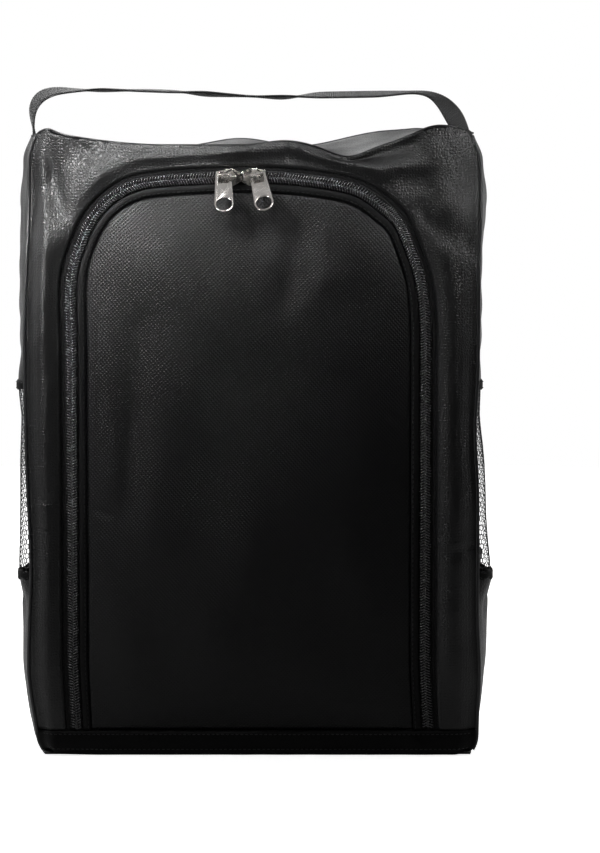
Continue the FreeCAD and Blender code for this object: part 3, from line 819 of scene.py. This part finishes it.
def build_sides():
    columns = 70
    v = np.sin(np.linspace(-math.pi / 2, math.pi / 2, columns))
    for sign, tag in ((-1, "left"), (1, "right")):
        for name, low, high, node, seed in (
            ("upper", 217.0, SIDE_TOP, "side_upper_", 31),
            ("lower", 0.4, 108.0, "side_lower_", 32),
        ):
            z = np.linspace(low, high, columns)
            V, Z = np.meshgrid(v, z)
            fold = 0.5 * ripple(V * 60, Z, seed, 26)
            if name == "lower":
                gather = smooth(60, 104, Z)
                fold = fold + 0.9 * gather * np.sin(V * 31 + 1.7 * np.sin(V * 9)) + 0.8 * smooth(85, 104, Z)
            else:
                fold = fold + 0.8 * crease(V * 60, Z, -20, 350, 5, 250, 8)
                fold = fold - 0.9 * crease(V * 60, Z, -40, 345, -25, 240, 7)
            grid = side_surface(sign, V, Z, fold * np.clip(1 - np.abs(V) ** 6, 0, 1))
            made = "side_" + name + "_soft_" + tag
            cloth_piece(made, grid, CLOTH, (-sign, 0, 0), "bag_body", "leatherette", "leatherette", node + tag)
        build_net(sign, tag)
        for name, z, node in (
            ("net_top_binding_soft_", NET_BINDING, "mesh_top_binding_"),
            ("hem_soft_", POCKET_HEM, "pocket_hem_"),
        ):
            line = side_surface(sign, v, np.full(columns, z), 0.5)
            if z == POCKET_HEM:  # the gathers lift and drop it
                line[:, 2] += 0.9 * np.sin(np.linspace(-31, 31, columns)) * 0.7
            rings = [oval(p, sign * 0.9, 3.4 - 1.2 * abs(at) ** 8, 14) for p, at in zip(line, v)]
            piece = new_piece(name + tag, *loft(rings), "bag_body", "smooth_trim", MATS["smooth_trim"])
            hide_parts(node + tag)
            rows = []
            for dz in (-1.8, 1.8):
                row = line + np.array([sign * 0.95, 0, dz])
                rows.append(stitch_row(row, (sign, 0, 0), 2.0, 0.9, 0.24))
            thread_piece(name + "stitches_" + tag, rows, "bag_body", "smooth_trim")


def build_net(sign, tag):
    """A hexagonal warp-knit net, cell by cell, as real yarn."""
    pitch = 3.1
    foot, tall = 103.5, 116.0
    bm = bmesh.new()
    fine = np.linspace(-1, 1, 400)
    run = lengths_along(side_surface(sign, fine, np.full(400, 160.0)))
    wide = run[-1]
    step_y, step_z = pitch, pitch * 0.9
    rows, cols = int(tall / step_z), int(wide / step_y)
    cache = {}

    def corner(a, b):
        key = (round(a * 2), round(b * 3))
        if key not in cache:
            v = np.interp(a * step_y, run, fine)
            p = side_surface(sign, v, foot + b * step_z, -0.2)
            cache[key] = bm.verts.new(tuple(p * MM))
        return cache[key]

    for r in range(rows):
        for c in range(cols):
            a, b = c + (0.5 if r % 2 else 0.0) + 0.5, float(r)
            if a + 0.5 > wide / step_y:
                continue
            right = [(a, b - 2 / 3), (a + 0.5, b - 1 / 3), (a + 0.5, b + 1 / 3)]
            left = [(a, b + 2 / 3), (a - 0.5, b + 1 / 3), (a - 0.5, b - 1 / 3)]
            bm.faces.new([corner(*p) for p in right + left])
    mesh = bpy.data.meshes.new("net_soft_" + tag)
    bm.to_mesh(mesh)
    bm.free()
    piece = bpy.data.objects.new("net_soft_" + tag, mesh)
    bpy.context.scene.collection.objects.link(piece)
    wire = piece.modifiers.new("yarn", "WIREFRAME")
    wire.thickness = 0.45 * MM
    wire.use_even_offset = True
    wire.use_boundary = True
    apply_modifiers(piece)
    piece.data.polygons.foreach_set("use_smooth", [True] * len(piece.data.polygons))
    piece.data.materials.append(MATS["net"])
    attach(piece, "bag_body")
    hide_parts("side_mesh_" + tag)


def half_width(x, v, z):
    """How far out the bag's side is at a height: the left side where x < 0, else the right."""
    right = np.abs(side_surface(1, v, np.full(v.shape, z))[..., 0])
    left = np.abs(side_surface(-1, v, np.full(v.shape, z))[..., 0])
    return np.where(x < 0, left, right)


def top_surface(x, v):
    """A point of the top: x from -1 to 1 of its width, v from -1 at the front to 1 at the back."""
    x, v = np.broadcast_arrays(np.asarray(x, float), np.asarray(v, float))
    px = x * half_width(x, v, SIDE_TOP)
    flat = np.clip(px / 128.0, -1, 1) * EDGE
    z_front = front_seam(flat)
    mix = (v + 1) / 2
    z = z_front * (1 - smooth(0, 1, mix)) + back_seam(flat) * smooth(0, 1, mix)
    z = z - 1.5 * smooth(0.93, 1, np.abs(x))
    inner = (1 - np.abs(x) ** 6) * np.sin(np.pi * mix)
    z = z + inner * (0.8 * ripple(px, v * 60, 41, 48) - 2.6 * hump(px, v * 60, -40, -5, 70, 40) - 1.0)
    y = FRONT * (1 - mix) + BACK * mix
    y = y + (1 - mix) ** 2 * (-swell(flat, np.full(flat.shape, 359.0)) + 0.4)
    return np.stack([px, y, z], axis=-1)


def build_top():
    X, V = np.meshgrid(np.linspace(-1, 1, 150), np.linspace(-1, 1, 60))
    grid = top_surface(X, V)
    cloth_piece("top_panel_soft", grid, CLOTH, (0, 0, -1), "bag_body", "grained_top", "grained_top", "top_panel")


def build_back():
    X, Z = np.meshgrid(np.linspace(-EDGE, EDGE, 110), np.linspace(0, 1, 130))
    Z = Z * back_seam(X)
    swollen = 3.5 * (1 - (np.abs(X) / EDGE) ** 4) * np.sin(np.pi * np.clip(Z / 366, 0, 1)) ** 0.6
    swollen = swollen + (1 - (np.abs(X) / EDGE) ** 8) * smooth(0, 12, Z) * (
        0.9 * ripple(X, Z, 51, 80) + 0.3 * ripple(X, Z, 52, 25)
        + 1.2 * crease(X, Z, -110, 350, -60, 300, 6) - 1.2 * crease(X, Z, 112, 352, 80, 290, 7)
        + 1.0 * crease(X, Z, -40, 60, 50, 40, 9)
    )
    y = BACK + swollen - 1.2 * smooth(126, EDGE, np.abs(X))
    pinch = 4.0 * smooth(350, 368, Z) * X / EDGE
    grid = np.stack([X - pinch, y, Z], axis=-1)
    cloth_piece(
        "back_panel_soft", grid, FIRM_CLOTH, (0, -1, 0), "bag_body", "leatherette", "leatherette", "back_panel"
    )


def build_base():
    X, V = np.meshgrid(np.linspace(-1, 1, 100), np.linspace(-1, 1, 60))
    px = X * half_width(X, V, 1.0)
    y = V * 63.6
    z = 0.4 + 0.35 * ripple(px, y, 61, 40) * (1 - np.abs(X) ** 4) * (1 - np.abs(V) ** 4)
    grid = np.stack([px, y, np.maximum(z, 0.02)], axis=-1)
    cloth_piece(
        "base_panel_soft", grid, BASE_CLOTH, (0, 0, 1), "bag_body", "leatherette", "leatherette", "base_panel"
    )


def build_piping():
    z = np.linspace(2.5, 364, 190)
    for y_sign, name, node in (
        (-1, "front_piping_soft", "front_piping"),
        (1, "back_piping_soft", "back_piping"),
    ):
        parts = []
        for sign in (-1, 1):
            edge = side_surface(sign, np.full(z.shape, float(y_sign)), z)
            edge[:, 0] += sign * 0.4
            edge[:, 1] += y_sign * 0.2
            parts.append(tube(soften(edge, 3), 1.15 - 0.5 * smooth(340, 364, z), 12))
        x = np.linspace(-0.99, 0.99, 190)
        top = top_surface(x, np.full(x.shape, float(y_sign)))
        top[:, 2] += 0.1
        parts.append(tube(soften(top, 2), 0.55, 10))
        piece = new_piece(name, *join(parts), "bag_body", "smooth_trim", MATS["piping_trim"])
        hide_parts(node)


def build_inside_bindings():
    z = np.linspace(3, 355, 120)
    for y_sign, name, node in (
        (-1, "front_binding_soft", "front_seam_binding"),
        (1, "back_binding_soft", "back_seam_binding"),
    ):
        parts = []
        for sign in (-1, 1):
            edge = side_surface(sign, np.full(z.shape, float(y_sign)), z)
            edge[:, 0] -= sign * 3.2
            edge[:, 1] -= y_sign * 2.6
            rings = []
            a = full_turn(12)
            for p in edge:
                y = p[1] - y_sign * 0.6 + 1.9 * np.sin(a)
                rings.append(np.stack([p[0] + np.cos(a), y, np.full(12, p[2])], axis=1))
            parts.append(loft(rings))
        piece = new_piece(name, *join(parts), "bag_body", "tape", MATS["tape"])
        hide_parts(node)


# ---------------------------------------------------------------- handle


def handle_line(n=1050):
    """The strap's middle line and how far its flat face is rolled, from its left end to its right end."""
    left, right = -131.0, 128.0
    knots = np.array([
        (left, 0, 361), (left - 1.5, 0, 372), (left - 2.0, 0, 381), (left + 2.5, 0, 388.5),
        (left + 12, 0, 391.4), (-92, 0, 391.8), (-68, 0, 391.6), (-45, 0, 390.8), (-30, 0, 389.6),
        (0, 0, 388.0), (18, 0, 387.4), (38, 0, 388.8), (75, 0, 389.4), (96, 0, 390.6),
        (106, -1, 390.0), (114, -1.5, 384.5), (121, -1, 375.5), (right, 0, 361),
    ], float)
    roll = np.array([0, 6, 16, 20, 12, -3, 3.5, 3.5, -5.5, 2, -4.5, 9, 9, 3, 8, 22, 30, 20], float)
    run = lengths_along(knots)
    at = np.linspace(0, run[-1], n)
    line = np.stack([np.interp(at, run, knots[:, k]) for k in range(3)], axis=1)
    turn = np.interp(at, run, roll)
    return soften(line, 420), np.radians(soften(turn, 420))


def strap_section(rib, wide=25.0, thick=1.5):
    """The webbing's outline across where a rib is this high, with its two bound edges."""
    half = wide / 2
    across = half * np.sin(np.linspace(-math.pi / 2, math.pi / 2, 17))
    rounded = np.sqrt(np.clip(1 - (np.abs(across) / half) ** 16, 0, 1))
    height = (thick / 2 - 0.22 + rib) * rounded + 0.02
    upper = np.stack([across, height], axis=1)
    lower = np.stack([across, -height], axis=1)[::-1]
    return np.concatenate([upper, lower])


def build_handle():
    line, roll = handle_line()
    tangent = np.gradient(line, axis=0)
    tangent /= np.linalg.norm(tangent, axis=1, keepdims=True)
    rib_pitch, rib_height = 1.35, 0.24
    ribs = rib_height * np.abs(np.sin(np.pi * lengths_along(line) / rib_pitch))
    rings = []
    for p, t, r, rib in zip(line, tangent, roll, ribs):
        section = strap_section(rib)
        side = np.array([0.0, 1.0, 0.0])
        side = side - t * np.dot(side, t)
        side /= np.linalg.norm(side)
        up = np.cross(t, side)
        wide = side * math.cos(r) + up * math.sin(r)
        thick = np.cross(t, wide)
        rings.append(p + section[:, :1] * wide + section[:, 1:] * thick)
    piece = new_piece("handle_strap_soft", *loft(rings), None, "webbing", MATS["webbing"])
    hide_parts("handle_webbing", "handle_leg_left", "handle_leg_right")
    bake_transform(piece)


# ---------------------------------------------------------------- sliders and pull tabs


def bevelled(node, body, name, material):
    """The CAD's metal piece with its edges broken, as cast and polished metal has them."""
    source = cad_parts[node]
    mesh = source.data.copy()
    bm = bmesh.new()
    bm.from_mesh(mesh)
    bmesh.ops.remove_doubles(bm, verts=bm.verts, dist=1e-6)
    bmesh.ops.dissolve_limit(bm, angle_limit=math.radians(1.0), verts=bm.verts, edges=bm.edges)
    bm.to_mesh(mesh)
    bm.free()
    mesh.materials.clear()
    mesh.materials.append(material)
    piece = bpy.data.objects.new(name, mesh)
    bpy.context.scene.collection.objects.link(piece)
    bevel = piece.modifiers.new("broken_edges", "BEVEL")
    bevel.width = 0.22 * MM
    bevel.segments = 3
    bevel.limit_method = "ANGLE"
    bevel.angle_limit = math.radians(35)
    bevel.use_clamp_overlap = True
    apply_modifiers(piece)
    piece.data.polygons.foreach_set("use_smooth", [True] * len(piece.data.polygons))
    piece.data.set_sharp_from_angle(angle=math.radians(32))
    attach(piece, body)
    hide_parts(node)


def build_metal():
    for tag in ("left", "right"):
        bevelled("slider_" + tag, "slider_" + tag, "slider_metal_" + tag, MATS["cast_nickel"])
        bevelled("slider_bail_" + tag, "slider_" + tag, "bail_metal_" + tag, MATS["cast_nickel"])
        bevelled("pull_tab_" + tag, "pull_tab_" + tag, "tab_metal_" + tag, MATS["nickel"])


# ---------------------------------------------------------------- the stage


def build_stage():
    """A pale round floor, a backdrop that is white to the camera, and soft lights; all in metres."""
    mesh = bpy.data.meshes.new("floor")
    radius, behind, points = 1.15, 0.7, 96
    turns = [2 * math.pi * k / points for k in range(points)]
    ring = [(radius * math.cos(t), behind + radius * math.sin(t), -0.0004) for t in turns]
    mesh.from_pydata(ring, [], [list(range(points))])
    floor = bpy.data.objects.new("floor", mesh)
    bpy.context.scene.collection.objects.link(floor)
    m = Nodes("floor_paint", (0.93, 0.93, 0.93), 0.75, specular=0.2)
    m.tint(m.noise(3.0, 2.0), (0.925, 0.925, 0.925), (0.935, 0.935, 0.935))
    m.shader.inputs["Emission Color"].default_value = (1, 1, 1, 1)
    glow = m.ramp(m.node("ShaderNodeLightPath").outputs["Is Camera Ray"], 0.0, 0.86)
    m.link(glow, m.shader.inputs["Emission Strength"])
    mesh.materials.append(m.material)
    world = bpy.data.worlds.new("studio")
    bpy.context.scene.world = world
    world.use_nodes = True
    tree = world.node_tree
    background = tree.nodes["Background"]
    background.inputs["Color"].default_value = (1, 1, 1, 1)
    seen = tree.nodes.new("ShaderNodeLightPath").outputs["Is Camera Ray"]
    way = tree.nodes.new("ShaderNodeSeparateXYZ")
    tree.links.new(tree.nodes.new("ShaderNodeTexCoord").outputs["Generated"], way.inputs[0])
    both = tree.nodes.new("ShaderNodeMath")
    both.operation = "MULTIPLY"
    # The world lights and is reflected only low down behind the bag, and is nearly dark elsewhere.
    tree.links.new(remap(tree, way.outputs["Y"], (0.50, 0.88), (0.012, 1.0)), both.inputs[0])
    tree.links.new(remap(tree, way.outputs["Z"], (0.0, 0.07), (1.0, 0.02)), both.inputs[1])
    level = tree.nodes.new("ShaderNodeMath")
    level.operation = "MAXIMUM"
    tree.links.new(seen, level.inputs[0])
    tree.links.new(both.outputs[0], level.inputs[1])
    tree.links.new(level.outputs[0], background.inputs["Strength"])
    # Name, place, aim, size, watts and the spread of the beam in degrees.
    for name, place, aim, size, power, spread in (
        ("key", (-0.47, -0.52, 0.74), (-0.14, -0.07, 0.385), 0.2, 0.47, 27),
        ("side", (0.62, -0.55, 0.66), (0.14, -0.07, 0.42), 0.2, 0.12, 21),
        ("over", (0.10, -0.42, 0.95), (-0.02, -0.07, 0.42), 0.2, 0.12, 32),
        ("strip", (-0.85, -0.85, 0.25), (0, 0, 0.2), 0.16, 1.2, 180),
        ("left fill", (-1.3, 0.45, 0.7), (0, 0, 0.2), 0.6, 5, 180),
        ("right fill", (1.3, 0.45, 0.7), (0, 0, 0.2), 0.6, 5, 180),
        ("back fill", (-0.35, 1.6, 0.9), (0, 0, 0.2), 0.8, 9, 180),
        ("card", (0.05, -2.3, 0.42), (0, 0, 0.25), 0.35, 0.12, 180),
        ("top", (-0.25, 0.55, 2.3), (0, 0.3, 0), 3.2, 20, 180),
    ):
        light = bpy.data.lights.new(name, "AREA")
        light.energy = power
        light.size = size
        light.spread = math.radians(spread)
        if name == "strip":
            light.shape = "RECTANGLE"
            light.size_y = 5 * size
        lamp = bpy.data.objects.new(name, light)
        bpy.context.scene.collection.objects.link(lamp)
        lamp.location = place
        aim_at(lamp, place, aim)


def aim_at(thing, place, aim):
    way = Vector(aim) - Vector(place)
    thing.rotation_euler = way.to_track_quat("-Z", "Y").to_euler()


def build_camera():
    elevation = math.radians(4.5)
    distance = 1.8705
    aim = (0.028, FRONT * MM, 0.1944)
    place = (aim[0], aim[1] - distance * math.cos(elevation), aim[2] + distance * math.sin(elevation))
    data = bpy.data.cameras.new("camera")
    data.lens = 135
    data.sensor_width = 36
    data.clip_end = 100
    camera = bpy.data.objects.new("camera", data)
    bpy.context.scene.collection.objects.link(camera)
    camera.location = place
    aim_at(camera, place, aim)
    bpy.context.scene.camera = camera
    bpy.context.scene.view_settings.view_transform = "Standard"


def finish_cad_nodes():
    """Materials for the hidden pieces that stay as the CAD has them."""
    for node, material in (
        ("base_stiffener", "board"),
        ("handle_anchor_left", "webbing"),
        ("handle_anchor_right", "webbing"),
    ):
        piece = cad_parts[node]
        piece.data.materials.clear()
        piece.data.materials.append(MATS[material])


build_frame()
build_band()
build_door()
build_welt_and_tapes()
build_coil()
build_sides()
build_top()
build_back()
build_base()
build_piping()
build_inside_bindings()
build_handle()
build_metal()
finish_cad_nodes()
build_stage()
build_camera()
